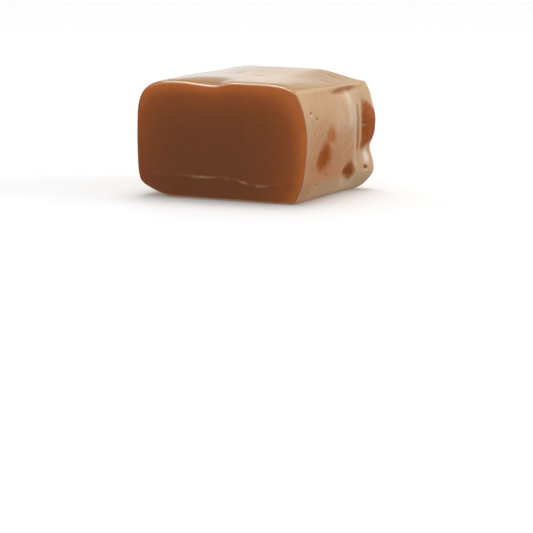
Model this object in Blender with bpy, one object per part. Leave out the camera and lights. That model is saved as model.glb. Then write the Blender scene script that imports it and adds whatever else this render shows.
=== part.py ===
# A soft caramel candy: a block cut from a slab, then dented and pulled on one side.
# It stands on its underside: -Y is the cut front, +X the pulled side, +Z up.
# Sizes below are in millimetres, and become metres as the mesh is written.

import bmesh
import bpy
import numpy as np

MM = 0.001

# Driving sizes of the block
RIGHT_REACH = 13.7  # from the middle plane out to the pulled side
LEFT_REACH = 13.8  # from the middle plane out to the left side
DEPTH = 22.6  # front to back
HEIGHT = 17.1  # underside to the crown of the top
WAIST_HEIGHT = 9.0  # about where the left and right sides are widest
CREASE_HEIGHT = 3.3  # the front and back tuck under below this height
SIDE_CREASE_HEIGHT = 2.85  # the same for the pulled side

# Leans: past its start a side loses ground, amount by start + reach, as a power of the way gone
RIGHT_TOP_LEAN = {"start": WAIST_HEIGHT, "reach": 6.9, "power": 2.3, "amount": 1.7}
RIGHT_BASE_LEAN = {"start": -WAIST_HEIGHT, "reach": 5.7, "power": 1.6, "amount": 0.58}
LEFT_TOP_LEAN = {"start": 8.5, "reach": 7.7, "power": 4.6, "amount": 1.75}
LEFT_BASE_LEAN = {"start": -8.5, "reach": 4.8, "power": 3.0, "amount": 0.15}
TOP_LEFT_FALL = {"start": 0.0, "reach": 11.3, "power": 5.0, "amount": 0.75}
TOP_RIGHT_FALL = {"start": 6.4, "reach": 5.6, "power": 2.6, "amount": 1.15}
UNDER_LEFT_CURL = {"start": 8.7, "reach": 4.7, "power": 1.5, "amount": 1.9}
UNDER_RIGHT_CURL = {"start": 10.0, "reach": 2.7, "power": 2.0, "amount": 0.3}

# The right of the top slopes straighter at the back, between these x, and the left curl weakens there
BACK_SLOPE = {"from": 4.8, "to": 12.8, "drop": 1.42}
CURL_WEAKENS = {"from": -6.0, "to": 9.0, "share": 0.35}

# The back of the top stands a little higher along y, but at its left, along -x, it is lower
BACK_LIFT = {"from": -2.0, "to": 10.0, "height": 0.14}
BACK_LEFT_DROP = {"from": 6.0, "to": 10.5, "depth": 0.36}

# The front of the top bulges a little, then rolls over towards the front edge, past a start along -y
FRONT_ROLL = {"start": 9.1, "reach": 2.2, "height": 0.19}

# Tucks under the creases, in millimetres inward for each millimetre down, and dips of the crease lines
FRONT_TUCK = 0.22
BACK_TUCK = 0.3
SIDE_TUCK = 0.36
FRONT_CREASE_DIP = {"centre": 6.2, "reach": 3.2, "height": -0.85}
BACK_CREASE_DIP = {"centre": -4.0, "reach": 4.0, "height": -0.8}

# How far the cut faces stand back at their borders
FRONT_SWELL = 0.15
BACK_SWELL = 0.28

# The scoop at the left of the top's front edge: where it is deepest, how it fades sideways, and its back rim
SCOOP = {"x": -1.2, "reach_left": 5.2, "reach_right": 1.7, "depth": 0.58, "soft": 0.12}
SCOOP_RIM = {"x": -3.9, "half_width": 5.7, "back": 5.65}

# Rounds of the edges: the least one, and what the back, the left and the base add
LEAST_ROUND = 0.38
BACK_ROUND = {"from": 2.0, "to": 10.0, "adds": 0.45}
BACK_ROUND_ENDS = {"from": 5.0, "to": 12.0}  # along x: the far right corner stays crisp
LEFT_ROUND = {"from": 5.0, "to": 12.0, "adds": 0.25}
BASE_ROUND = {"from": 5.0, "to": 1.0, "adds": 0.25}

# Dents and swellings of the pulled side, in (y, z): centre, reach along and across, turn in degrees, height.
# One with a tilt also rises along y through its middle, which turns it towards the front
PULLED_SIDE_FORMS = [
    {"centre": (-4.7, 6.3), "reach": (2.1, 1.25), "turn": 50, "height": -0.15, "tilt": 0.58},  # long dent
    {"centre": (-2.7, 9.2), "reach": (1.4, 1.0), "turn": 66, "height": -0.08, "tilt": 0.45},  # its tail
    {"centre": (4.35, 3.15), "reach": (1.45, 1.35), "turn": 10, "height": -0.3, "tilt": 0.6},  # thumb dent
    {"centre": (2.9, 12.9), "reach": (3.2, 0.9), "turn": 104, "height": 0.22},  # upright swelling
    {"centre": (5.95, 9.2), "reach": (3.8, 0.5), "turn": 90, "height": -0.24},  # upright fold
    {"centre": (7.65, 9.9), "reach": (3.8, 0.65), "turn": 90, "height": -0.36},  # valley before the lobes
    {"centre": (9.6, 10.6), "reach": (3.5, 1.8), "turn": 90, "height": 0.88},  # upper lobe
    {"centre": (9.8, 6.3), "reach": (2.6, 1.0), "turn": 0, "height": -0.45},  # waist between the lobes
    {"centre": (9.8, 2.3), "reach": (2.6, 2.4), "turn": 0, "height": 1.35},  # lower lobe
    {"centre": (9.8, 15.2), "reach": (3.6, 2.0), "turn": 0, "height": 0.44},  # full upper corner at the back
    {"centre": (3.8, 15.0), "reach": (3.8, 0.5), "turn": 0, "height": -0.26},  # hollow under the top edge
]

# Soft hollows of the left side, in (y, z), and of the back, in (x, z)
LEFT_SIDE_FORMS = [
    {"centre": (3.5, 10.5), "reach": (4.0, 2.2), "turn": 25, "height": -0.35},
    {"centre": (-4.5, 6.0), "reach": (2.4, 3.4), "turn": -20, "height": -0.22},
]
BACK_FORMS = [
    {"centre": (-5.0, 8.0), "reach": (5.0, 3.2), "turn": 15, "height": -0.3},
    {"centre": (6.5, 11.0), "reach": (2.0, 4.0), "turn": -10, "height": -0.28},
]

# Mesh: a cube cut into a grid, its rows drawn towards the edges
GRID_CUTS = 29
ROWS_TOWARDS_EDGES = 0.22
SETTLING_ROUNDS = 14
SKIN_DEPTH = 4.0  # how far inside the block the rays to its surface start
RAY_REACH = 1.3  # in ray lengths: the surface is looked for a little past the sharp block
HALVINGS = 36

CARAMEL_COLOUR = (0.36, 0.13, 0.045, 1.0)
CARAMEL_ROUGHNESS = 0.28


def rise(value, start, end):
    """0 up to start, 1 from end on, and a smooth rise between them."""
    share = np.clip((value - start) / (end - start), 0.0, 1.0)
    return share * share * (3.0 - 2.0 * share)


def lost_to(lean, value):
    """How much a lean has taken off where value has gone past its start."""
    return lean["amount"] * (np.maximum(value - lean["start"], 0.0) / lean["reach"]) ** lean["power"]


def dipped(height, dip, x):
    """The height of a crease line along x, with its one dip."""
    return height + dip["height"] * np.exp(-(((x - dip["centre"]) / dip["reach"]) ** 2))


def forms(u, v, items):
    """The sum of soft dents and swellings over a side with coordinates u and v."""
    total = np.zeros_like(u)
    for item in items:
        turn = np.radians(item["turn"])
        du = u - item["centre"][0]
        dv = v - item["centre"][1]
        along = (du * np.cos(turn) + dv * np.sin(turn)) / item["reach"][0]
        across = (dv * np.cos(turn) - du * np.sin(turn)) / item["reach"][1]
        height = item["height"] + item.get("tilt", 0.0) * du
        total = total + height * np.exp(-(along**2) - across**2)
    return total


def right_side(y, z):
    """X of the pulled side: barrelled, and leaning in below a crease."""
    lost = lost_to(RIGHT_TOP_LEAN, z) + lost_to(RIGHT_BASE_LEAN, -z)
    lost = lost + SIDE_TUCK * np.maximum(SIDE_CREASE_HEIGHT - z, 0.0)
    return RIGHT_REACH - lost + forms(y, z, PULLED_SIDE_FORMS)


def left_side(y, z):
    """X of the left side: squarer at the top, and nearly upright towards the base."""
    lost = lost_to(LEFT_TOP_LEAN, z) + lost_to(LEFT_BASE_LEAN, -z)
    return -(LEFT_REACH - lost + forms(y, z, LEFT_SIDE_FORMS))


def border_share(x, z):
    """0 at the middle of a cut face, and 1 at the middle of each of its borders."""
    return (x / RIGHT_REACH) ** 2 + ((z - WAIST_HEIGHT) / WAIST_HEIGHT) ** 2


def front_side(x, z):
    """Y of the cut front: nearly flat, and tucked under below a wavy crease."""
    crease = dipped(CREASE_HEIGHT, FRONT_CREASE_DIP, x)
    return -DEPTH / 2 + FRONT_SWELL * border_share(x, z) + FRONT_TUCK * np.maximum(crease - z, 0.0)


def back_side(x, z):
    """Y of the back, the other cut, a little fuller than the front."""
    crease = dipped(CREASE_HEIGHT, BACK_CREASE_DIP, x)
    lost = BACK_SWELL * border_share(x, z) + BACK_TUCK * np.maximum(crease - z, 0.0)
    return DEPTH / 2 - lost + forms(x, z, BACK_FORMS)


def scoop_ramp(x, y):
    """How far the scoop is down between its back rim, at 0, and the front edge, at 1."""
    off_middle = (x - SCOOP_RIM["x"]) / SCOOP_RIM["half_width"]
    rim_depth = SCOOP_RIM["back"] * np.sqrt(np.maximum(1 - off_middle**2, 0.01))
    share = 1 - (y + DEPTH / 2) / rim_depth
    return (share + np.sqrt(share**2 + SCOOP["soft"] ** 2)) / 2


def top_side(x, y):
    """Z of the top: a low crown that falls to both sides, with the scoop at its front edge."""
    towards_back = rise(y, -DEPTH / 2, DEPTH / 2)
    back_fall = BACK_SLOPE["drop"] * rise(x, BACK_SLOPE["from"], BACK_SLOPE["to"])
    right_fall = lost_to(TOP_RIGHT_FALL, x) * (1 - towards_back) + back_fall * towards_back
    reach = np.where(x > SCOOP["x"], SCOOP["reach_right"], SCOOP["reach_left"])
    scoop = SCOOP["depth"] * np.exp(-(((x - SCOOP["x"]) / reach) ** 2)) * scoop_ramp(x, y)
    left_share = rise(-x, BACK_LEFT_DROP["from"], BACK_LEFT_DROP["to"])
    lift = BACK_LIFT["height"] - BACK_LEFT_DROP["depth"] * left_share
    lift = lift * rise(y, BACK_LIFT["from"], BACK_LIFT["to"])
    rolled = np.minimum(np.maximum(-y - FRONT_ROLL["start"], 0.0) / FRONT_ROLL["reach"], 1.0)
    lift = lift + FRONT_ROLL["height"] * (1 - towards_back) * (1 - rolled**2)
    return HEIGHT + lift - right_fall - lost_to(TOP_LEFT_FALL, -x) - scoop


def under_side(x, y):
    """Z of the underside: flat in the middle, and curling up at the left and right."""
    kept = 1 - CURL_WEAKENS["share"] * rise(y, CURL_WEAKENS["from"], CURL_WEAKENS["to"])
    return lost_to(UNDER_LEFT_CURL, -x) * kept + lost_to(UNDER_RIGHT_CURL, x)


def edge_round(x, y, z):
    """The radius of the edges: tight at the near right and top, softer at the back, left and base."""
    back = BACK_ROUND["adds"] * rise(y, BACK_ROUND["from"], BACK_ROUND["to"])
    back = back * (1 - rise(x, BACK_ROUND_ENDS["from"], BACK_ROUND_ENDS["to"]))
    left = LEFT_ROUND["adds"] * rise(-x, LEFT_ROUND["from"], LEFT_ROUND["to"])
    base = BASE_ROUND["adds"] * rise(-z, -BASE_ROUND["from"], -BASE_ROUND["to"])
    return LEAST_ROUND + back + left + base


def outside(points):
    """Signed distance of points from the block's surface, negative within."""
    x, y, z = points.T
    radius = edge_round(x, y, z)
    past_x = np.maximum(x - right_side(y, z), left_side(y, z) - x)
    past_y = np.maximum(y - back_side(x, z), front_side(x, z) - y)
    past_z = np.maximum(z - top_side(x, y), under_side(x, y) - z)
    past = np.stack([past_x, past_y, past_z]) + radius
    rounded = np.linalg.norm(np.maximum(past, 0.0), axis=0)
    return rounded + np.minimum(past.max(axis=0), 0.0) - radius


def in_sharp_block(shares):
    """Points of a cube from 0 to 1, carried into the block with its edges still sharp, and its ends there."""
    points = (shares - (0.5, 0.5, 0.0)) * (LEFT_REACH + RIGHT_REACH, DEPTH, HEIGHT)
    for _ in range(SETTLING_ROUNDS):
        x, y, z = points.T
        low = np.stack([left_side(y, z), front_side(x, z), under_side(x, y)], axis=1)
        high = np.stack([right_side(y, z), back_side(x, z), top_side(x, y)], axis=1)
        points = low + (high - low) * shares
    return points, low, high


def on_surface(cube_points):
    """Points of a cube from -1 to 1, carried along rays onto the rounded surface."""
    drawn = cube_points * (1 + ROWS_TOWARDS_EDGES * (1 - cube_points**2))
    points, low, high = in_sharp_block((drawn + 1) / 2)
    starts = np.clip(points, low + SKIN_DEPTH, high - SKIN_DEPTH)
    rays = points - starts
    near = np.zeros((len(points), 1))
    far = near + RAY_REACH
    for _ in range(HALVINGS):
        tried = (near + far) / 2
        within = outside(starts + rays * tried)[:, None] < 0
        near = np.where(within, tried, near)
        far = np.where(within, far, tried)
    return starts + rays * far


def caramel_material():
    material = bpy.data.materials.new("caramel")
    material.use_nodes = True
    shader = material.node_tree.nodes["Principled BSDF"]
    shader.inputs["Base Color"].default_value = CARAMEL_COLOUR
    shader.inputs["Roughness"].default_value = CARAMEL_ROUGHNESS
    shader.inputs["Metallic"].default_value = 0.0
    return material


def build_caramel(collection):
    """The block: a cube cut into a grid, carried onto the surface and stood on the origin."""
    mesh = bpy.data.meshes.new("caramel")
    grid = bmesh.new()
    bmesh.ops.create_cube(grid, size=2.0)
    bmesh.ops.subdivide_edges(grid, edges=grid.edges[:], cuts=GRID_CUTS, use_grid_fill=True)
    points = on_surface(np.array([vert.co for vert in grid.verts]))
    centre = (points.min(axis=0) + points.max(axis=0)) / 2
    points[:, :2] -= centre[:2]
    points[:, 2] -= points[:, 2].min()
    for vert, point in zip(grid.verts, points):
        vert.co = point * MM
    bmesh.ops.triangulate(grid, faces=grid.faces[:])
    grid.to_mesh(mesh)
    grid.free()
    mesh.shade_smooth()
    mesh.materials.append(caramel_material())
    caramel = bpy.data.objects.new("caramel", mesh)
    collection.objects.link(caramel)


def main():
    for old in list(bpy.data.objects):
        bpy.data.objects.remove(old, do_unlink=True)
    candy = bpy.data.collections.new("caramel_candy")
    bpy.context.scene.collection.children.link(candy)
    build_caramel(candy)


main()
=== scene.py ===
from math import cos, radians, sin

import bmesh
import bpy
import numpy as np
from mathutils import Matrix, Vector, noise


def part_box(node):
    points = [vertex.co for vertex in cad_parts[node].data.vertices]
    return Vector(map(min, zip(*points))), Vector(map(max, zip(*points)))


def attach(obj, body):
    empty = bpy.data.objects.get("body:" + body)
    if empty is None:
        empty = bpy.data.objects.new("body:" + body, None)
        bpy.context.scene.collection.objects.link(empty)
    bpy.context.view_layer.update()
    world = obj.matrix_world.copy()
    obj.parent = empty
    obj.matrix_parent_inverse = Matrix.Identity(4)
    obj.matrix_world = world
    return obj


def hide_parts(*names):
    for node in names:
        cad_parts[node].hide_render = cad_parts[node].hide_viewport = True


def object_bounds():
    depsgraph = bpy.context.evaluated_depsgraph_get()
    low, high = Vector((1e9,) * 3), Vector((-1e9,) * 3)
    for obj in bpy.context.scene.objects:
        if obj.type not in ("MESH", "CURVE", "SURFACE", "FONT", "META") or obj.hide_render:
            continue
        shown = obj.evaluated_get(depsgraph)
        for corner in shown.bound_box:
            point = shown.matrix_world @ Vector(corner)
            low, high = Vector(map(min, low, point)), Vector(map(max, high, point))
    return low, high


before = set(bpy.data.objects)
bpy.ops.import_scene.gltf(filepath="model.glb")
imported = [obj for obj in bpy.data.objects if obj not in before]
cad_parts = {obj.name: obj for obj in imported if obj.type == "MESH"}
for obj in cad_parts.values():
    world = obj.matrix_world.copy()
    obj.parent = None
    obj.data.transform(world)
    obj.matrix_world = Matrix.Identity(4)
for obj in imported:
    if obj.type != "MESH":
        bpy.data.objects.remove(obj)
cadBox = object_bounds()
mm = 0.001
print("caramel candy: the frame is loaded")


# The camera stands to the right of the cut front and looks a little down, with the candy high in its picture
photoCamera = {
    "azimuth": 26.0,  # degrees round from the cut front towards the pulled side
    "pitch": 8.8,  # degrees below the level
    "lens": 297.0,
    "distance": 0.64,
    "aimBelow": 0.01944,  # the middle of the picture is this far under the candy's middle
    "aimRight": 0.00127,
    "nearest": 0.01,
}


def addCamera(settings):
    low, high = cadBox
    around = radians(settings["azimuth"])
    down = radians(settings["pitch"])
    back = Vector((sin(around) * cos(down), -cos(around) * cos(down), sin(down)))
    right = Vector((cos(around), sin(around), 0.0))
    up = back.cross(right)
    aim = (low + high) / 2 - up * settings["aimBelow"] + right * settings["aimRight"]
    camera = bpy.data.objects.new("camera", bpy.data.cameras.new("camera"))
    camera.data.lens = settings["lens"]
    camera.data.clip_start = settings["nearest"]
    camera.location = aim + back * settings["distance"]
    camera.rotation_euler = (-back).to_track_quat("-Z", "Y").to_euler()
    bpy.context.scene.collection.objects.link(camera)
    bpy.context.scene.camera = camera


addCamera(photoCamera)
print("caramel candy: the camera is set")


# The block, in millimetres: -Y is the cut front, +X the pulled side, +Z up
block = {
    "rightReach": 13.7,  # from the middle plane out to the pulled side
    "leftReach": 13.8,
    "depth": 22.6,
    "height": 17.1,
    "waist": 9.0,  # about where the left and right sides are widest
    "crease": 3.3,  # the front and back tuck under below this height
    "sideCrease": 2.85,  # and so does the pulled side, with a softer bend
    "sideCreaseSoft": 0.5,
    # leans: past its start a side loses ground, amount by start + reach, as a power of the way gone
    "rightTopLean": {"start": 9.0, "reach": 6.9, "power": 2.3, "amount": 1.7},
    "rightBaseLean": {"start": -9.0, "reach": 5.7, "power": 1.6, "amount": 0.58},
    "leftTopLean": {"start": 8.5, "reach": 7.7, "power": 4.6, "amount": 1.75},
    "leftBaseLean": {"start": -8.5, "reach": 4.8, "power": 3.0, "amount": 0.15},
    "topLeftFall": {"start": 0.0, "reach": 11.3, "power": 5.0, "amount": 0.75},
    "topRightFall": {"start": 6.4, "reach": 5.6, "power": 2.6, "amount": 1.15},
    "underLeftCurl": {"start": 8.7, "reach": 4.7, "power": 1.5, "amount": 1.9},
    "underRightCurl": {"start": 10.0, "reach": 2.7, "power": 2.0, "amount": 0.3},
    "backSlope": {"from": 4.8, "to": 12.8, "drop": 1.42},  # straighter fall at the back of the top
    # the back of the top stands a little higher, but not at its left
    "backLift": {"from": -2.0, "to": 10.0, "lift": 0.14, "leftFrom": 6.0, "leftTo": 10.5, "leftDrop": 0.36},
    # the front of the top bulges a little, then rolls over towards the front edge, past a start along -y
    "frontRoll": {"start": 9.1, "reach": 2.2, "height": 0.19},
    "curlWeakens": {"from": -6.0, "to": 9.0, "share": 0.35},
    "frontTuck": 0.22,  # inward for each millimetre down
    "backTuck": 0.3,
    "sideTuck": 0.36,
    "frontCreaseDip": {"centre": 6.2, "reach": 3.2, "height": -0.85},
    "backCreaseDip": {"centre": -4.0, "reach": 4.0, "height": -0.8},
    "frontSwell": 0.15,
    "backSwell": 0.28,
    # scoop at the front of the top: where it is deepest, how it fades sideways, and its curved back rim
    "scoop": {"x": -1.2, "reachLeft": 5.2, "reachRight": 1.7, "depth": 0.58, "soft": 0.12},
    "scoopRim": {"x": -3.9, "halfWidth": 5.7, "back": 5.65, "endShare": 0.1},  # share of it left at the ends
    # rounds of the edges: the least one, and what the back, the left and the base add
    "leastRound": 0.3,
    "backRound": {"from": 2.0, "to": 10.0, "adds": 0.45},
    "backRoundEnds": {"from": 5.0, "to": 12.0},
    "leftRound": {"from": 5.0, "to": 12.0, "adds": 0.25},
    "baseRound": {"from": 5.0, "to": 1.0, "adds": 0.25},
    # dents and swellings of the pulled side, in (y, z)
    "pulledSide": [
        {"at": (-4.7, 6.3), "reach": (2.1, 1.25), "turn": 50, "height": -0.15, "tilt": 0.58},  # long dent
        {"at": (-2.7, 9.2), "reach": (1.4, 1.0), "turn": 66, "height": -0.08, "tilt": 0.45},  # its tail
        {"at": (4.35, 3.15), "reach": (1.45, 1.35), "turn": 10, "height": -0.3, "tilt": 0.6},  # thumb dent
        {"at": (2.9, 12.9), "reach": (3.2, 0.9), "turn": 104, "height": 0.15},  # upright swelling
        {"at": (5.95, 9.2), "reach": (3.8, 0.5), "turn": 90, "height": -0.2},  # upright fold
        {"at": (7.65, 9.9), "reach": (3.8, 0.65), "turn": 90, "height": -0.36},  # valley before the lobes
        {"at": (9.6, 10.6), "reach": (3.5, 1.8), "turn": 90, "height": 0.88},  # upper lobe
        {"at": (9.8, 6.3), "reach": (2.6, 1.0), "turn": 0, "height": -0.45},  # waist between the lobes
        {"at": (9.8, 2.3), "reach": (2.6, 2.4), "turn": 0, "height": 1.35},  # lower lobe
        {"at": (9.8, 15.2), "reach": (3.6, 2.0), "turn": 0, "height": 0.44},  # full corner at the back
        {"at": (3.8, 15.0), "reach": (3.8, 0.5), "turn": 0, "height": -0.26},  # hollow under the top edge
    ],
    "leftSide": [
        {"at": (3.5, 10.5), "reach": (4.0, 2.2), "turn": 25, "height": -0.35},
        {"at": (-4.5, 6.0), "reach": (2.4, 3.4), "turn": -20, "height": -0.22},
    ],
    "back": [
        {"at": (-5.0, 8.0), "reach": (5.0, 3.2), "turn": 15, "height": -0.3},
        {"at": (6.5, 11.0), "reach": (2.0, 4.0), "turn": -10, "height": -0.28},
    ],
    # the mesh: a cube cut into a grid, its rows drawn towards the edges
    "gridCuts": 127,
    "rowsTowardsEdges": 0.22,
    "settlingRounds": 14,
    "skinDepth": 4.0,  # the rays start this far inside each side
    "rayReach": 1.3,
    "halvings": 24,
}


def rise(value, start, end):  # smoothly from 0 at the start to 1 at the end, which may lie below the start
    share = np.clip((value - start) / (end - start), 0.0, 1.0)
    return share * share * (3.0 - 2.0 * share)


def lostTo(lean, value):
    return lean["amount"] * (np.maximum(value - lean["start"], 0.0) / lean["reach"]) ** lean["power"]


def dipped(height, dip, x):
    return height + dip["height"] * np.exp(-(((x - dip["centre"]) / dip["reach"]) ** 2))


def nearness(u, v, item):  # 1 at a form's middle, and falling off to nothing round it
    turn = radians(item["turn"])
    du = u - item["at"][0]
    dv = v - item["at"][1]
    along = (du * cos(turn) + dv * sin(turn)) / item["reach"][0]
    across = (dv * cos(turn) - du * sin(turn)) / item["reach"][1]
    return np.exp(-(along**2) - across**2)


def summed(u, v, items):  # a form with a tilt also rises through its middle, so that it faces forward
    total = 0.0
    for item in items:
        height = item["height"] + item.get("tilt", 0.0) * (u - item["at"][0])
        total = total + height * nearness(u, v, item)
    return total


def rightSide(y, z):
    lost = lostTo(block["rightTopLean"], z) + lostTo(block["rightBaseLean"], -z)
    under = block["sideCrease"] - z
    lost = lost + block["sideTuck"] * (under + np.sqrt(under**2 + block["sideCreaseSoft"] ** 2)) / 2
    return block["rightReach"] - lost + summed(y, z, block["pulledSide"])


def leftSide(y, z):
    lost = lostTo(block["leftTopLean"], z) + lostTo(block["leftBaseLean"], -z)
    return -(block["leftReach"] - lost + summed(y, z, block["leftSide"]))


def borderShare(x, z):  # 0 at the middle of a cut face, 1 at the middle of each of its borders
    return (x / block["rightReach"]) ** 2 + ((z - block["waist"]) / block["waist"]) ** 2


def frontSide(x, z):
    crease = dipped(block["crease"], block["frontCreaseDip"], x)
    stoodBack = block["frontSwell"] * borderShare(x, z) + block["frontTuck"] * np.maximum(crease - z, 0.0)
    return stoodBack - block["depth"] / 2


def backSide(x, z):
    crease = dipped(block["crease"], block["backCreaseDip"], x)
    stoodBack = block["backSwell"] * borderShare(x, z) + block["backTuck"] * np.maximum(crease - z, 0.0)
    return block["depth"] / 2 - stoodBack + summed(x, z, block["back"])


def scoopRamp(x, y):  # 0 behind the scoop's rim, rising to 1 at the front
    rim = block["scoopRim"]
    curved = 1 - ((x - rim["x"]) / rim["halfWidth"]) ** 2
    back = rim["back"] * np.sqrt(np.maximum(curved, rim["endShare"] ** 2))
    share = 1 - (y + block["depth"] / 2) / back
    return (share + np.sqrt(share**2 + block["scoop"]["soft"] ** 2)) / 2


def topSide(x, y):
    towardsBack = rise(y, -block["depth"] / 2, block["depth"] / 2)
    slope = block["backSlope"]
    backFall = slope["drop"] * rise(x, slope["from"], slope["to"])
    rightFall = lostTo(block["topRightFall"], x) * (1 - towardsBack) + backFall * towardsBack
    scoop = block["scoop"]
    reach = np.where(x > scoop["x"], scoop["reachRight"], scoop["reachLeft"])
    dip = scoop["depth"] * np.exp(-(((x - scoop["x"]) / reach) ** 2)) * scoopRamp(x, y)
    lift = block["backLift"]
    lifted = lift["lift"] - lift["leftDrop"] * rise(-x, lift["leftFrom"], lift["leftTo"])
    lifted = lifted * rise(y, lift["from"], lift["to"])
    roll = block["frontRoll"]
    rolled = np.minimum(np.maximum(-y - roll["start"], 0.0) / roll["reach"], 1.0)
    lifted = lifted + roll["height"] * (1 - towardsBack) * (1 - rolled**2)
    return block["height"] + lifted - rightFall - lostTo(block["topLeftFall"], -x) - dip


def underSide(x, y):
    weakens = block["curlWeakens"]
    kept = 1 - weakens["share"] * rise(y, weakens["from"], weakens["to"])
    return lostTo(block["underLeftCurl"], -x) * kept + lostTo(block["underRightCurl"], x)


def edgeRound(x, y, z):
    back, ends = block["backRound"], block["backRoundEnds"]
    left, base = block["leftRound"], block["baseRound"]
    added = back["adds"] * rise(y, back["from"], back["to"]) * (1 - rise(x, ends["from"], ends["to"]))
    added = added + left["adds"] * rise(-x, left["from"], left["to"])
    added = added + base["adds"] * rise(z, base["from"], base["to"])
    return block["leastRound"] + added


def pastSides(points):  # how far points lie past each pair of sides, negative within
    x, y, z = points.T
    pastX = np.maximum(x - rightSide(y, z), leftSide(y, z) - x)
    pastY = np.maximum(y - backSide(x, z), frontSide(x, z) - y)
    pastZ = np.maximum(z - topSide(x, y), underSide(x, y) - z)
    return np.stack([pastX, pastY, pastZ])


def outside(points):  # signed distance from the rounded surface, negative within
    radius = edgeRound(*points.T)
    past = pastSides(points) + radius
    rounded = np.linalg.norm(np.maximum(past, 0.0), axis=0)
    return rounded + np.minimum(past.max(axis=0), 0.0) - radius


def inSharpBlock(shares):  # points of a cube from 0 to 1, carried into the block with its edges still sharp
    size = (block["leftReach"] + block["rightReach"], block["depth"], block["height"])
    points = (shares - (0.5, 0.5, 0.0)) * size
    for _ in range(block["settlingRounds"]):
        x, y, z = points.T
        low = np.stack([leftSide(y, z), frontSide(x, z), underSide(x, y)], axis=1)
        high = np.stack([rightSide(y, z), backSide(x, z), topSide(x, y)], axis=1)
        points = low + (high - low) * shares
    return points, low, high


def onSurface(cubePoints):  # points of a cube from -1 to 1, carried along rays onto the rounded surface
    drawn = cubePoints * (1 + block["rowsTowardsEdges"] * (1 - cubePoints**2))
    points, low, high = inSharpBlock((drawn + 1) / 2)
    starts = np.clip(points, low + block["skinDepth"], high - block["skinDepth"])
    rays = points - starts
    near = np.zeros((len(points), 1))
    far = near + block["rayReach"]
    for _ in range(block["halvings"]):
        tried = (near + far) / 2
        within = outside(starts + rays * tried)[:, None] < 0
        near = np.where(within, tried, near)
        far = np.where(within, far, tried)
    return starts + rays * far


def gridOfCube(cuts):
    grid = bmesh.new()
    bmesh.ops.create_cube(grid, size=2.0)
    bmesh.ops.subdivide_edges(grid, edges=grid.edges[:], cuts=cuts, use_grid_fill=True)
    for face in grid.faces:
        face.smooth = True
    return grid


# Fine relief that the coarser solid leaves out, in millimetres
relief = {
    # soft unevenness of every side, and how much of it the top keeps
    "undulation": {"wave": 4.2, "height": 0.06, "onTop": 0.08, "shift": 0.0},
    "ripple": {"wave": 1.5, "height": 0.012, "onTop": 0.3, "shift": 40.0},
    # drag marks of the pulled side turn from a low to a high direction between two heights
    "dragMarks": {"along": 4.5, "across": 0.9, "deep": 10.0, "height": 0.012, "turnLow": 50, "turnHigh": 75,
                  "turns": (6.0, 13.0)},
    # pits where bubbles broke at the pulled side, in (y, z), and how much painted highlight their lower rims
    # get
    "sidePits": [
        {"at": (-8.95, 13.1), "radius": 0.18, "depth": 0.1, "light": 0.8},
        {"at": (-7.45, 12.15), "radius": 0.18, "depth": 0.12, "light": 0.7},
        {"at": (-3.8, 3.75), "radius": 0.17, "depth": 0.1, "light": 0.0},
        {"at": (-6.3, 2.5), "radius": 0.17, "depth": 0.1, "light": 0.6},
        {"at": (7.8, 9.95), "radius": 0.14, "depth": 0.1, "light": 0.25},
        {"at": (8.2, 3.5), "radius": 0.24, "depth": 0.2, "light": 0.8},
    ],
    "pitsLonger": 1.35,  # along y than in height
    # small dents of the top, in (x, y)
    "topDents": [
        {"at": (-2.8, 0.8), "reach": (1.9, 0.32), "turn": 88, "height": -0.07},
        {"at": (1.0, -1.5), "reach": (0.85, 0.3), "turn": 20, "height": -0.06},
        {"at": (9.1, 7.0), "reach": (1.0, 0.4), "turn": -20, "height": -0.09},
        {"at": (10.0, 2.5), "reach": (0.7, 0.3), "turn": 10, "height": -0.07},
        {"at": (9.9, -7.6), "reach": (0.35, 0.3), "turn": 0, "height": -0.05},
        {"at": (10.2, -6.0), "reach": (0.35, 0.3), "turn": 0, "height": -0.05},
    ],
    # specks of the cut front, in (x, z)
    "frontSpecks": [
        {"at": (6.92, 12.35), "radius": 0.13, "depth": 0.1},
        {"at": (8.02, 12.84), "radius": 0.12, "depth": 0.08},
    ],
    # a side's relief fades in as the surface turns to face its way
    "facing": {"pulled": (0.55, 0.85), "top": (0.7, 0.9), "front": (0.8, 0.95)},
    "underside": (0.05, 0.6),  # the relief fades in between these heights, so that the underside stays flat
}


def noiseOver(points, scale):
    return np.array([noise.noise(Vector(point)) for point in points * scale])


def unevenness(points, wave, onTop):
    noises = noiseOver(points + wave["shift"], 1 / wave["wave"])
    return wave["height"] * noises * (1 - (1 - wave["onTop"]) * onTop)


def dragged(x, y, z, marks):  # noise drawn out along a direction of the pulled side
    turn = np.radians(marks["turnLow"] + (marks["turnHigh"] - marks["turnLow"]) * rise(z, *marks["turns"]))
    along = y * np.cos(turn) + z * np.sin(turn)
    across = z * np.cos(turn) - y * np.sin(turn)
    drawn = np.stack([along / marks["along"], across / marks["across"], x / marks["deep"]], axis=1)
    return marks["height"] * noiseOver(drawn, 1.0)


def pitted(u, v, pits, longer=1.0):  # how deep round pits are, made longer along u
    total = np.zeros_like(u)
    for pit in pits:
        gone = (((u - pit["at"][0]) / longer) ** 2 + (v - pit["at"][1]) ** 2) / pit["radius"] ** 2
        total = total + pit["depth"] * np.exp(-gone)
    return total


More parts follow.
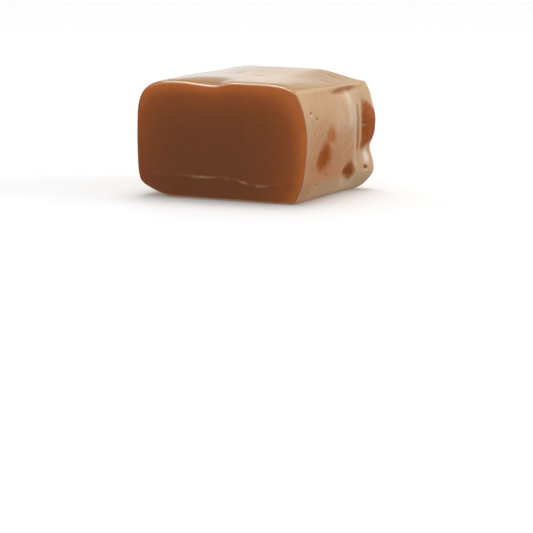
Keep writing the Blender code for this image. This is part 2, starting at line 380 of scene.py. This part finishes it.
def fineRelief(points, normals):  # how far the surface stands out of the plain form, along its normal
    x, y, z = points.T
    facing = relief["facing"]
    onPulled = rise(normals[:, 0], *facing["pulled"])
    onTop = rise(normals[:, 2], *facing["top"])
    onFront = rise(-normals[:, 1], *facing["front"])
    total = unevenness(points, relief["undulation"], onTop) + unevenness(points, relief["ripple"], onTop)
    total = total + dragged(x, y, z, relief["dragMarks"]) * onPulled
    total = total - pitted(y, z, relief["sidePits"], relief["pitsLonger"]) * onPulled
    total = total - pitted(x, z, relief["frontSpecks"]) * onFront
    total = total + summed(x, y, relief["topDents"]) * onTop
    return total * rise(z, *relief["underside"])


# What the material reads from the mesh: how near an edge is, for a painted glow, how hazy and sheened the
# surface is, and where the marks and the painted shade and highlights are
skin = {
    # a side's marks fade in as the surface turns to face its way
    "facing": {"cut": (0.6, 0.9), "pulled": (0.3, 0.75), "right": (0.05, 0.45), "top": (0.5, 0.85)},
    # painted glow of the cut faces, amber near each border: how far it reaches, its share, and what of it is
    # lost low down
    "glow": {
        "top": {"reach": 2.5, "share": 0.92, "lostLow": 0.0},
        "right": {"reach": 3.2, "share": 0.95, "lostLow": 0.12},
        "left": {"reach": 2.4, "share": 0.5, "lostLow": 0.35},
    },
    "glowLow": (9.5, 4.5),  # from the height where nothing is lost to the height where that share is
    "glowElsewhere": 0.45,  # amber of the other sides
    "darkRim": {"share": 0.55, "facing": (0.08, 0.45)},  # painted glow lost where a cut face rounds off to its sides
    # the near left corner has no haze, painted sheen or painted top sheen: its start and end in x and y, and
    # what painted glow and pale edges lose
    "amberEnd": {"x": (-8.6, -10.2), "y": (-9.4, -11.0), "lost": 0.8},
    "hazeAndSheenOther": 0.8,  # haze and painted sheen of all but the pulled side and the cut faces
    # haze and painted sheen of the pulled side, and what some of its parts add between two places in y or z
    "hazeAndSheenPulled": 0.6,
    "hazeAndSheenAdds": [
        {"adds": 0.24, "z": (8.5, 13.5)},
        {"adds": 0.22, "y": (2.5, 6.0)},
        {"adds": 0.14, "y": (-8.0, -10.5)},
        {"adds": 0.34, "y": (-10.5, -6.5), "z": (3.6, 2.1)},
        {"adds": -0.16, "y": (2.5, -3.0), "z": (8.5, 5.0)},
    ],
    # painted shade of the hollow under the top edge, in (y, z)
    "shade": {"at": (3.9, 15.25), "reach": (3.4, 0.36), "turn": 0},
    # clear patches, where haze and painted sheen are left off and a darker amber is painted shade of the
    # dents, in (y, z): how clear, how soft the border, how much amber
    "patches": [
        {"outline": [(-6.1, 4.6), (-7.2, 5.6), (-7.1, 6.5), (-6.3, 7.6), (-4.9, 8.7), (-3.5, 8.6),
                     (-3.3, 7.0), (-3.7, 5.4), (-4.5, 4.5), (-5.4, 4.3)],
         "clear": 1.0, "soft": 1.05, "glow": 0.4},  # the long dent
        {"outline": [(-3.0, 7.9), (-4.4, 8.6), (-4.6, 9.8), (-2.9, 10.5), (-2.2, 10.3), (-1.7, 9.3),
                     (-1.9, 8.4)],
         "clear": 0.62, "soft": 0.5, "glow": 0.6},  # its tail
        {"outline": [(4.4, 4.8), (5.6, 3.4), (5.5, 2.7), (4.8, 2.0), (3.8, 2.5), (2.1, 3.4), (3.2, 4.2)],
         "clear": 1.0, "soft": 0.6, "glow": 0.15},  # the thumb dent
        {"outline": [(8.0, 13.3), (7.4, 11.2), (7.3, 8.6), (7.5, 7.0), (7.4, 6.4), (8.3, 5.9), (9.6, 7.0),
                     (10.9, 8.2), (11.6, 10.0), (11.4, 11.5), (9.6, 12.3), (9.0, 13.0)],
         "clear": 1.0, "soft": 0.5, "glow": 0.45},  # the upper lobe
        {"outline": [(-0.2, 15.1), (2.4, 14.85), (5.2, 14.85), (7.1, 15.3), (5.9, 15.55), (2.4, 15.5)],
         "clear": 0.95, "soft": 0.35, "glow": 0.5},  # the hollow under the top edge
    ],
    "patchGlow": (0.0, 0.2),  # the amber of a patch fades in between these shares of its border
    # lines of the fold, in (y, z): a painted shade line between two painted highlight lines
    "foldShade": {"line": [(6.5, 12.6), (6.35, 11.3), (6.25, 9.7), (6.25, 8.1), (6.3, 6.5)], "width": 0.3},
    "paintedFoldHighlights": [
        {"line": [(5.35, 12.2), (5.1, 10.0), (5.1, 8.2), (5.4, 6.5), (5.35, 5.2), (5.8, 4.0)], "width": 0.38},
        {"line": [(7.25, 12.8), (6.85, 10.6), (6.75, 8.9), (6.9, 7.2)], "width": 0.15},
    ],
    "paintedFoldHighlight": 0.32,  # how bright those two painted highlights are
    # painted highlights of the pulled side, whitish spots, in (y, z)
    "paintedHighlight": [
        {"at": (4.3, 13.9), "reach": (1.0, 0.5), "turn": 85, "height": 0.6},
        {"at": (3.7, 10.8), "reach": (1.0, 0.6), "turn": 75, "height": 0.5},
        {"at": (8.7, 5.0), "reach": (0.6, 0.8), "turn": 0, "height": 1.3},
        {"at": (4.2, 12.3), "reach": (3.2, 2.8), "turn": 80, "height": 0.24},
        {"at": (0.2, 11.0), "reach": (2.0, 1.8), "turn": 80, "height": 0.2},
        {"at": (8.6, 4.4), "reach": (1.8, 1.8), "turn": 0, "height": 0.15},
    ],
    # painted highlight on the lower rim of a pit: how far along y it lies, how many radii below, and its
    # reach
    "pitRimHighlight": {"along": 0.1, "below": 1.6, "reach": (0.3, 0.17)},
    "pitShadeByDepth": {"side": 12, "front": 9},  # painted shade in a pit, brown for each millimetre of its depth
    # painted shade of the top in its scoop, where no painted top sheen is laid, and along its rolled front
    # edge
    "scoopShaded": (0.06, 0.22),
    "rollShaded": (-9.7, -10.7),
    # edges of the top and of the pulled side are rubbed pale with a painted highlight, and more so along the
    # front
    "edge": {"right": 10.0, "round": (0.3, 0.65), "frontAdds": 0.6, "frontX": (10.0, 7.0),
             "frontY": (-10.0, -10.6)},
    # a painted highlight along the crease of the cut front, faint, and stronger in three stretches along x
    "creaseLight": {"width": 0.17, "rise": 0.05, "least": 0.06, "stretches": [
        {"x": -3.2, "reach": 1.7, "share": 0.9},
        {"x": 2.6, "reach": 1.7, "share": 0.8},
        {"x": 6.2, "reach": 1.4, "share": 0.5},
    ]},
}


def distanceTo(u, v, points):  # from each place to the nearest stretch of the line through some points
    nearest = np.full_like(u, np.inf)
    for (startU, startV), (endU, endV) in zip(points, points[1:]):
        goneU = endU - startU
        goneV = endV - startV
        share = np.clip(((u - startU) * goneU + (v - startV) * goneV) / (goneU**2 + goneV**2), 0.0, 1.0)
        nearest = np.minimum(nearest, np.hypot(u - startU - share * goneU, v - startV - share * goneV))
    return nearest


def alongLine(u, v, item):  # 1 on a line, and falling off beside it
    return np.exp(-((distanceTo(u, v, item["line"]) / item["width"]) ** 2))


def patchShare(y, z, patch):  # 0 outside a patch's outline and 1 inside, over its soft border
    corners = patch["outline"]
    closed = corners + corners[:1]
    within = np.zeros(len(y), dtype=bool)
    for (startY, startZ), (endY, endZ) in zip(closed, closed[1:]):
        if startZ != endZ:
            crossing = startY + (z - startZ) * (endY - startY) / (endZ - startZ)
            within ^= ((startZ > z) != (endZ > z)) & (y < crossing)
    distance = distanceTo(y, z, closed)
    return np.clip(0.5 + np.where(within, distance, -distance) / (2 * patch["soft"]), 0.0, 1.0)


# painted shade: clear, darker amber patches where the dents of the pulled side turn from the light
def clearAndShadedPatches(y, z, facesRight):  # how clear the surface is, and how much amber shows there
    clear = np.zeros_like(y)
    amber = np.zeros_like(y)
    for patch in skin["patches"]:
        share = patchShare(y, z, patch) * facesRight
        clear = np.maximum(clear, share * patch["clear"])
        amber = np.maximum(amber, rise(share, *skin["patchGlow"]) * patch["glow"])
    return clear, amber


# painted glow: amber laid into the colour of the cut faces near their borders
def paintedEdgeGlow(x, y, z, normals, onCut, amberEnd):
    depths = {"top": topSide(x, y) - z, "right": rightSide(y, z) - x, "left": x - leftSide(y, z)}
    low = rise(z, *skin["glowLow"])
    unlit = 1.0
    for side, glow in skin["glow"].items():
        share = glow["share"] * (1 - glow["lostLow"] * low)
        unlit = unlit * (1 - share * np.exp(-np.maximum(depths[side], 0.0) / glow["reach"]))
    rim = skin["darkRim"]
    onRim = rise(np.abs(normals[:, 0]), *rim["facing"])
    elsewhere = skin["glowElsewhere"] * (1 - skin["amberEnd"]["lost"] * amberEnd)
    return (1 - unlit) * onCut * (1 - rim["share"] * onRim) + elsewhere * (1 - onCut)


# haze and painted sheen: a pale cast over all sides but the cut faces, varied over the pulled side
def hazeAndSheenOver(y, z, onCut, onPulled):
    pulled = skin["hazeAndSheenPulled"]
    for part in skin["hazeAndSheenAdds"]:
        added = part["adds"]
        for axis, places in (("y", y), ("z", z)):
            if axis in part:
                added = added * rise(places, *part[axis])
        pulled = pulled + added
    hazeAndSheen = skin["hazeAndSheenOther"] + (np.minimum(pulled, 1.0) - skin["hazeAndSheenOther"]) * onPulled
    return hazeAndSheen * (1 - onCut)


# painted highlights: whitish spots, the lines of the fold and the lower rims of the pits
def paintedHighlightOver(y, z, onPulled):
    paintedHighlight = summed(y, z, skin["paintedHighlight"])
    # painted highlights along the fold
    for line in skin["paintedFoldHighlights"]:
        paintedHighlight = paintedHighlight + skin["paintedFoldHighlight"] * alongLine(y, z, line)
    # painted highlights on the lower rims of the pits
    rim = skin["pitRimHighlight"]
    for pit in relief["sidePits"]:
        at = (pit["at"][0] + rim["along"], pit["at"][1] - rim["below"] * pit["radius"])
        paintedHighlight = paintedHighlight + pit["light"] * nearness(y, z, {"at": at, "reach": rim["reach"], "turn": 0})
    return np.clip(paintedHighlight, 0.0, 1.0) * onPulled


# pale edges: rubbed, with a painted highlight along them
def rubbedAndHighlitEdges(points):
    x, y, z = points.T
    edge = skin["edge"]
    radius = edgeRound(x, y, z)
    roundedOff = (pastSides(points) + radius) / radius
    roundedOff[0] *= x > edge["right"]
    roundedOff[2] *= z > block["waist"]
    second = np.sort(roundedOff, axis=0)[1]  # above 0 only where two sides meet
    front = rise(y, *edge["frontY"]) * rise(x, *edge["frontX"])
    return rise(second, *edge["round"]) * (1 + edge["frontAdds"] * front)


# painted highlight along the crease of the cut front
def paintedCreaseHighlight(x, z, onFront):
    light = skin["creaseLight"]
    offCrease = (z - dipped(block["crease"], block["frontCreaseDip"], x) - light["rise"]) / light["width"]
    lit = light["least"]
    for stretch in light["stretches"]:
        lit = lit + stretch["share"] * np.exp(-(((x - stretch["x"]) / stretch["reach"]) ** 2))
    return np.exp(-(offCrease**2)) * np.clip(lit, 0.0, 1.0) * onFront


def skinMasks(points, normals):
    x, y, z = points.T
    facing = skin["facing"]
    onCut = rise(np.abs(normals[:, 1]), *facing["cut"])
    onPulled = rise(normals[:, 0], *facing["pulled"])
    onTop = rise(normals[:, 2], *facing["top"])
    facesRight = rise(normals[:, 0], *facing["right"])
    onFront = onCut * (y < 0)
    end = skin["amberEnd"]
    amberEnd = rise(x, *end["x"]) * rise(y, *end["y"]) * (1 - onPulled)
    clear, clearGlow = clearAndShadedPatches(y, z, facesRight)
    inScoop = rise(scoopRamp(x, y), *skin["scoopShaded"])
    # painted shade of the top in its scoop and on its rolled front edge
    paintedTopShade = np.maximum(inScoop, rise(y, *skin["rollShaded"])) * onTop
    # painted shade in the pits of the pulled side and in the specks of the front
    sidePits = pitted(y, z, relief["sidePits"], relief["pitsLonger"]) * skin["pitShadeByDepth"]["side"] * onPulled
    speckShade = pitted(x, z, relief["frontSpecks"]) * skin["pitShadeByDepth"]["front"] * onFront
    return {
        "paintedEdgeGlow": paintedEdgeGlow(x, y, z, normals, onCut, amberEnd),
        "hazeAndSheen": hazeAndSheenOver(y, z, onCut, onPulled) * (1 - amberEnd),
        "drawn": onPulled,
        "dull": amberEnd * (1 - onCut),
        "clear": clear,
        "clearGlow": clearGlow,
        "shade": nearness(y, z, skin["shade"]) * facesRight,
        "foldShade": alongLine(y, z, skin["foldShade"]) * onPulled,
        "edge": rubbedAndHighlitEdges(points) * (1 - clear) * (1 - end["lost"] * amberEnd),
        # painted sheen of the top, left out of its scoop
        "paintedTopSheen": onTop * (1 - inScoop) * (1 - amberEnd),
        "paintedTopShade": paintedTopShade * (1 - amberEnd),
        "paintedHighlight": paintedHighlightOver(y, z, onPulled),
        "pits": np.clip(np.maximum(sidePits, speckShade), 0.0, 1.0),
        "paintedCreaseHighlight": paintedCreaseHighlight(x, z, onFront),
    }


def vertexValues(mesh, layer, attribute):
    values = np.zeros(len(layer) * 3)
    layer.foreach_get(attribute, values)
    return values.reshape(-1, 3)


def buildCaramel():
    grid = gridOfCube(block["gridCuts"])
    points = onSurface(np.array([vert.co for vert in grid.verts]))
    mesh = bpy.data.meshes.new("caramelBlock")
    grid.to_mesh(mesh)
    grid.free()
    mesh.vertices.foreach_set("co", points.ravel())
    mesh.update()
    normals = vertexValues(mesh, mesh.vertex_normals, "vector")
    masks = skinMasks(points, normals)
    points = points + normals * fineRelief(points, normals)[:, None]
    # stood in the solid's place: middle over middle, underside on underside
    low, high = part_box("caramel")
    points = points * mm
    middle = (points.min(axis=0) + points.max(axis=0)) / 2
    points[:, :2] += np.array(((low + high) / 2)[:2]) - middle[:2]
    points[:, 2] += low.z - points[:, 2].min()
    mesh.vertices.foreach_set("co", points.ravel())
    mesh.update()
    for name, values in masks.items():
        layer = mesh.attributes.new(name, "FLOAT", "POINT")
        layer.data.foreach_set("value", values)
    piece = bpy.data.objects.new("caramelBlock", mesh)
    bpy.context.scene.collection.objects.link(piece)
    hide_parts("caramel")
    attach(piece, "root")
    return piece


# Caramel, in metres: brown deep inside and a painted amber glow near the edges, with a pale waxy haze and
# painted sheen
caramelLook = {
    # the body, from the middle of the block to its edges, where its amber is a painted glow
    "body": ((0.0, (0.3, 0.103, 0.038)), (0.45, (0.52, 0.142, 0.037)), (0.75, (0.78, 0.235, 0.055)),
             (1.0, (0.78, 0.285, 0.085))),
    # colour of the haze and painted sheen
    "hazeAndSheen": (0.60, 0.424, 0.25, 1.0),
    # darker amber of the clear patches, painted shade of the dents
    "paintedPatchShadeDark": (0.28, 0.068, 0.014, 1.0),
    "paintedPatchShadeAmber": (0.54, 0.15, 0.021, 1.0),
    "clearStreaks": 0.8,  # how ragged the streaks make the border of a clear patch
    # colour of the painted shade in the top's scoop
    "paintedTopShadeColour": (0.46, 0.225, 0.07, 1.0),
    # painted sheen of the top, whitish at the left and tan at the right
    "paintedTopSheenLeft": (0.45, 0.385, 0.3, 1.0),
    "paintedTopSheenRight": (0.52, 0.318, 0.143, 1.0),
    "paintedTopSheenTurns": (-0.008, 0.003),  # along X
    "paintedTopSheenShare": 0.9,
    # marks laid over that, each with its colour and share: painted highlights, painted shade and rubbed edges
    # colour of the painted highlight of the crease
    "crease": {"colour": (0.75, 0.5, 0.26, 1.0), "share": 1.0},
    "shade": {"colour": (0.3, 0.125, 0.025, 1.0), "share": 0.85},
    "foldShade": {"colour": (0.38, 0.15, 0.055, 1.0), "share": 0.9},
    # colour of the rubbed edges and their painted highlight
    "edge": {"colour": (0.74, 0.63, 0.46, 1.0), "share": 0.35},
    # colour of the painted highlights of the pulled side
    "paintedHighlight": {"colour": (0.85, 0.75, 0.63, 1.0), "share": 0.85},
    # colour of the painted shade in pits and specks
    "pits": {"colour": (0.3, 0.1, 0.03, 1.0), "share": 1.0},
    "roughness": {"clear": 0.14, "hazy": 0.36, "top": 0.2, "dull": 1.0},
    "refraction": 1.5,
    "subsurface": 0.6,
    "subsurfaceRadius": (1.0, 0.5, 0.25),
    "subsurfaceScale": 0.0006,
    # drag marks of the pulled side: directions low down and high up, size, and what they do to the haze and
    # painted sheen
    "streaks": {"turnLow": 52, "turnHigh": 44, "turns": (0.007, 0.012), "length": 0.0022, "width": 0.00026,
                "detail": 2.0, "height": 0.000002, "contrast": (0.25, 0.8), "leastHazeAndSheen": 0.79,
                "addsHazeAndSheen": 0.3},
    # cloudiness of the body's painted glow, of the crease's painted highlight and of the haze and painted
    # sheen everywhere else
    "mottling": {"wave": 0.0011, "detail": 4.0, "contrast": (0.3, 0.7), "glow": 0.06, "leastHazeAndSheen": 0.83,
                 "addsHazeAndSheen": 0.22},
}


def newNode(tree, kind, name, **values):
    node = tree.nodes.new(kind)
    node.name = node.label = name
    for key, value in values.items():
        setattr(node, key, value)
    return node


def feed(tree, sockets, values):  # each value is another node's output or a plain value
    for socket, value in zip(sockets, values):
        if isinstance(value, bpy.types.NodeSocket):
            tree.links.new(value, socket)
        else:
            socket.default_value = value


def maths(tree, name, operation, *values):
    node = newNode(tree, "ShaderNodeMath", name, operation=operation)
    feed(tree, node.inputs, values)
    return node.outputs[0]


def mixValue(tree, name, amount, first, second):
    node = newNode(tree, "ShaderNodeMix", name, data_type="FLOAT")
    feed(tree, (node.inputs[0], node.inputs[2], node.inputs[3]), (amount, first, second))
    return node.outputs[0]


def mixColour(tree, name, amount, first, second):
    node = newNode(tree, "ShaderNodeMix", name, data_type="RGBA")
    feed(tree, (node.inputs[0], node.inputs[6], node.inputs[7]), (amount, first, second))
    return node.outputs[2]


def between(tree, name, value, low, high):  # smoothly from 0 at the low value to 1 at the high one
    node = newNode(tree, "ShaderNodeMapRange", name, interpolation_type="SMOOTHSTEP")
    feed(tree, (node.inputs["Value"], node.inputs["From Min"], node.inputs["From Max"]), (value, low, high))
    return node.outputs["Result"]


def layerValue(tree, name):  # a mask that the mesh carries
    return newNode(tree, "ShaderNodeAttribute", name, attribute_name=name).outputs["Fac"]


def noiseAt(tree, name, position, scale, detail):
    node = newNode(tree, "ShaderNodeTexNoise", name)
    sockets = (node.inputs["Vector"], node.inputs["Scale"], node.inputs["Detail"])
    feed(tree, sockets, (position, scale, detail))
    return node.outputs["Fac"]


def streaks(tree, position, name, turn, settings):  # noise drawn out along one direction of the pulled side
    drawn = newNode(tree, "ShaderNodeMapping", name + " drawn", vector_type="TEXTURE")
    drawn.inputs["Rotation"].default_value = (radians(turn), 0.0, 0.0)
    drawn.inputs["Scale"].default_value = (settings["width"], settings["length"], settings["width"])
    tree.links.new(position, drawn.inputs["Vector"])
    return noiseAt(tree, name + " streaks", drawn.outputs[0], 1.0, settings["detail"])


def turningStreaks(tree, position, height, settings):
    low = streaks(tree, position, "low", settings["turnLow"], settings)
    high = streaks(tree, position, "high", settings["turnHigh"], settings)
    upper = between(tree, "upper half", height, *settings["turns"])
    return mixValue(tree, "streaks by height", upper, low, high)


def bodyColour(tree, glow, stops):
    ramp = newNode(tree, "ShaderNodeValToRGB", "deep to amber")
    for _ in stops[2:]:
        ramp.color_ramp.elements.new(0.5)
    for stop, (place, colour) in zip(ramp.color_ramp.elements, stops):
        stop.position = place
        stop.color = (*colour, 1.0)
    tree.links.new(glow, ramp.inputs["Fac"])
    return ramp.outputs["Color"]


def laidOver(tree, name, amount, mark, below):  # a mark's colour over what lies below
    share = maths(tree, name + " share", "MULTIPLY", amount, mark["share"])
    return mixColour(tree, name, share, below, mark["colour"])


def caramelMaterial(look):
    material = bpy.data.materials.new("softCaramel")
    material.use_nodes = True
    tree = material.node_tree
    shader = tree.nodes["Principled BSDF"]
    position = newNode(tree, "ShaderNodeTexCoord", "place").outputs["Object"]
    byAxis = newNode(tree, "ShaderNodeSeparateXYZ", "place by axis")
    tree.links.new(position, byAxis.inputs[0])
    onPulled = layerValue(tree, "drawn")

    # drag marks and cloudiness
    marks = look["streaks"]
    streak = turningStreaks(tree, position, byAxis.outputs["Z"], marks)
    strong = between(tree, "streak contrast", streak, *marks["contrast"])
    clouds = look["mottling"]
    cloud = noiseAt(tree, "mottling", position, 1 / clouds["wave"], clouds["detail"])
    cloudy = between(tree, "mottling contrast", cloud, *clouds["contrast"])

    # haze and painted sheen, except in the clear patches, whose borders the streaks make ragged
    spread = look["clearStreaks"]
    streaky = maths(tree, "streaks of clear patches", "MULTIPLY_ADD", streak, 2 * spread, 1 - spread)
    ragged = maths(tree, "ragged patches", "MULTIPLY", layerValue(tree, "clear"), streaky)
    clear = between(tree, "clear patches", ragged, 0.0, 1.0)
    streaked = maths(tree, "streaked haze", "MULTIPLY_ADD", strong, marks["addsHazeAndSheen"], marks["leastHazeAndSheen"])
    mottled = maths(tree, "mottled haze", "MULTIPLY_ADD", cloudy, clouds["addsHazeAndSheen"], clouds["leastHazeAndSheen"])
    uneven = mixValue(tree, "uneven haze", onPulled, mottled, streaked)
    fullHazeAndSheen = maths(tree, "full haze", "MULTIPLY", layerValue(tree, "hazeAndSheen"), uneven)
    hazeAndSheen = mixValue(tree, "haze now", clear, fullHazeAndSheen, 0.0)

    # the body's colour with its painted glow, under the haze and painted sheen
    unevenGlow = maths(tree, "uneven glow", "MULTIPLY_ADD", cloudy, clouds["glow"], -clouds["glow"] / 2)
    # the painted edge glow picks the body's colour along the ramp
    glow = maths(tree, "glow", "ADD", layerValue(tree, "paintedEdgeGlow"), unevenGlow)
    body = bodyColour(tree, glow, look["body"])
    amber = layerValue(tree, "clearGlow")
    patch = mixColour(tree, "patch colour", amber, look["paintedPatchShadeDark"], look["paintedPatchShadeAmber"])
    bare = mixColour(tree, "clear patch", clear, body, patch)
    # the haze and painted sheen laid over the body
    colour = mixColour(tree, "waxy haze", hazeAndSheen, bare, look["hazeAndSheen"])

    # the top: painted shade in its scoop and painted sheen over the rest
    paintedTopShade = layerValue(tree, "paintedTopShade")
    colour = mixColour(tree, "painted top shade", paintedTopShade, colour, look["paintedTopShadeColour"])
    across = between(tree, "across the top", byAxis.outputs["X"], *look["paintedTopSheenTurns"])
    paintedTopSheen = mixColour(tree, "painted top sheen colour", across, look["paintedTopSheenLeft"], look["paintedTopSheenRight"])
    topSheenShare = maths(tree, "painted top sheen share", "MULTIPLY", layerValue(tree, "paintedTopSheen"), look["paintedTopSheenShare"])
    colour = mixColour(tree, "painted top sheen", topSheenShare, colour, paintedTopSheen)

    # marks over all of it: painted highlights, painted shade and rubbed pale edges
    # painted highlight along the crease, broken by the mottling
    crease = maths(tree, "broken crease", "MULTIPLY", layerValue(tree, "paintedCreaseHighlight"), cloudy)
    colour = laidOver(tree, "crease light", crease, look["crease"], colour)
    for name in ("shade", "foldShade", "edge", "paintedHighlight", "pits"):
        colour = laidOver(tree, name + " mark", layerValue(tree, name), look[name], colour)
    tree.links.new(colour, shader.inputs["Base Color"])

    rough = look["roughness"]
    ofSides = maths(tree, "roughness", "MULTIPLY_ADD", hazeAndSheen, rough["hazy"] - rough["clear"], rough["clear"])
    onTop = maths(tree, "top share", "ADD", topSheenShare, paintedTopShade)
    roughness = mixValue(tree, "roughness of the top", onTop, ofSides, rough["top"])
    dull = layerValue(tree, "dull")
    roughness = mixValue(tree, "roughness of the dull end", dull, roughness, rough["dull"])
    tree.links.new(roughness, shader.inputs["Roughness"])

    bump = newNode(tree, "ShaderNodeBump", "streak relief")
    bump.inputs["Distance"].default_value = marks["height"]
    tree.links.new(maths(tree, "streaks on the side", "MULTIPLY", streak, onPulled), bump.inputs["Height"])
    tree.links.new(bump.outputs["Normal"], shader.inputs["Normal"])
    shader.inputs["Subsurface Weight"].default_value = look["subsurface"]
    shader.inputs["Subsurface Radius"].default_value = look["subsurfaceRadius"]
    shader.inputs["Subsurface Scale"].default_value = look["subsurfaceScale"]
    shader.inputs["IOR"].default_value = look["refraction"]
    return material


caramel = buildCaramel()
caramel.data.materials.append(caramelMaterial(caramelLook))
print("caramel candy: the block is made")


# Studio: an even room lights the candy, and it mirrors a dim room with a bright wall and a softbox behind
studio = {
    "wallDirection": 116.0,  # degrees from +X towards +Y
    "wallFades": (0.72, 0.97),  # cosine off that direction
    # brightness by the sine of the elevation
    "wall": ((-1.0, 0.25), (-0.16, 0.2), (-0.03, 0.22), (0.05, 1.95), (0.08, 1.95), (0.12, 1.22),
             (0.153, 1.04), (0.2, 0.92), (0.26, 0.74), (0.34, 0.1), (0.5, 0.3), (1.0, 1.0)),
    "dimRoom": ((-1.0, 0.1), (0.0, 0.14), (0.3, 0.4), (1.0, 1.0)),
    "room": ((-1.0, 0.54), (0.0, 0.52), (0.3, 0.6), (0.8, 0.9), (1.0, 1.2)),
    # the softbox is only mirrored, and the fills only light
    "lamps": {
        "softbox": {"size": 0.34, "place": (-0.18, 0.15, 0.55), "power": 4.4, "mirrored": True},
        "sideFill": {"size": 0.5, "place": (0.8, 0.25, 0.2), "power": 4.0, "mirrored": False},
        "leftFill": {"size": 0.5, "place": (-0.8, 0.1, 0.2), "power": 1.5, "mirrored": False},
        "overheadFill": {"size": 0.6, "place": (0.0, 0.2, 1.2), "power": 5.2, "mirrored": False},
    },
}


def byElevation(tree, name, height, steps):
    share = maths(tree, name + " place", "MULTIPLY_ADD", height, 0.5, 0.5)
    node = newNode(tree, "ShaderNodeFloatCurve", name)
    curve = node.mapping.curves[0]
    most = max(value for _, value in steps)
    for _ in range(len(steps) - 2):
        curve.points.new(0.5, 0.5)
    for point, (place, value) in zip(curve.points, steps):
        point.location = ((place + 1) / 2, value / most)
        point.handle_type = "VECTOR"
    node.mapping.update()
    tree.links.new(share, node.inputs["Value"])
    return maths(tree, name + " brightness", "MULTIPLY", node.outputs[0], most)


def addWorld(settings):
    world = bpy.data.worlds.new("studio")
    bpy.context.scene.world = world
    world.use_nodes = True
    tree = world.node_tree
    tree.nodes.clear()
    direction = newNode(tree, "ShaderNodeTexCoord", "direction").outputs["Generated"]
    towards = newNode(tree, "ShaderNodeVectorMath", "towards the wall", operation="DOT_PRODUCT")
    angle = radians(settings["wallDirection"])
    towards.inputs[1].default_value = (cos(angle), sin(angle), 0.0)
    tree.links.new(direction, towards.inputs[0])
    atWall = between(tree, "wall edge", towards.outputs["Value"], *settings["wallFades"])
    parts = newNode(tree, "ShaderNodeSeparateXYZ", "height")
    tree.links.new(direction, parts.inputs[0])
    height = parts.outputs["Z"]
    dimRoom = byElevation(tree, "dim room", height, settings["dimRoom"])
    wall = byElevation(tree, "wall", height, settings["wall"])
    mirrored = mixValue(tree, "wall or dim room", atWall, dimRoom, wall)
    room = byElevation(tree, "room", height, settings["room"])
    path = newNode(tree, "ShaderNodeLightPath", "light path")
    lit = mixValue(tree, "mirrored or felt", path.outputs["Is Glossy Ray"], room, mirrored)
    seen = mixValue(tree, "seen", path.outputs["Is Camera Ray"], lit, 1.0)
    surroundings = newNode(tree, "ShaderNodeBackground", "surroundings")
    tree.links.new(seen, surroundings.inputs["Strength"])
    output = newNode(tree, "ShaderNodeOutputWorld", "world")
    tree.links.new(surroundings.outputs[0], output.inputs["Surface"])


def addLamp(name, settings):
    lamp = bpy.data.objects.new(name, bpy.data.lights.new(name, "AREA"))
    lamp.data.size = settings["size"]
    lamp.data.energy = settings["power"]
    lamp.location = settings["place"]
    lamp.rotation_euler = Vector(settings["place"]).to_track_quat("Z", "Y").to_euler()
    lamp.visible_camera = False
    lamp.visible_glossy = settings["mirrored"]
    lamp.visible_diffuse = not settings["mirrored"]
    bpy.context.scene.collection.objects.link(lamp)


# A wide pale table top, which casts no colour back onto the candy
table = {"size": 6.0, "colour": (0.88, 0.88, 0.88, 1.0), "roughness": 0.6}


def addTable(settings):
    mesh = bpy.data.meshes.new("tableTop")
    grid = bmesh.new()
    bmesh.ops.create_grid(grid, x_segments=1, y_segments=1, size=settings["size"] / 2)
    grid.to_mesh(mesh)
    grid.free()
    material = bpy.data.materials.new("paleTable")
    material.use_nodes = True
    shader = material.node_tree.nodes["Principled BSDF"]
    shader.inputs["Base Color"].default_value = settings["colour"]
    shader.inputs["Roughness"].default_value = settings["roughness"]
    mesh.materials.append(material)
    top = bpy.data.objects.new("tableTop", mesh)
    top.visible_diffuse = False
    top.visible_glossy = False
    bpy.context.scene.collection.objects.link(top)


addWorld(studio)
for lampName, lampSettings in studio["lamps"].items():
    addLamp(lampName, lampSettings)
addTable(table)
bpy.context.scene.view_settings.view_transform = "Standard"
print("caramel candy: the studio is lit")
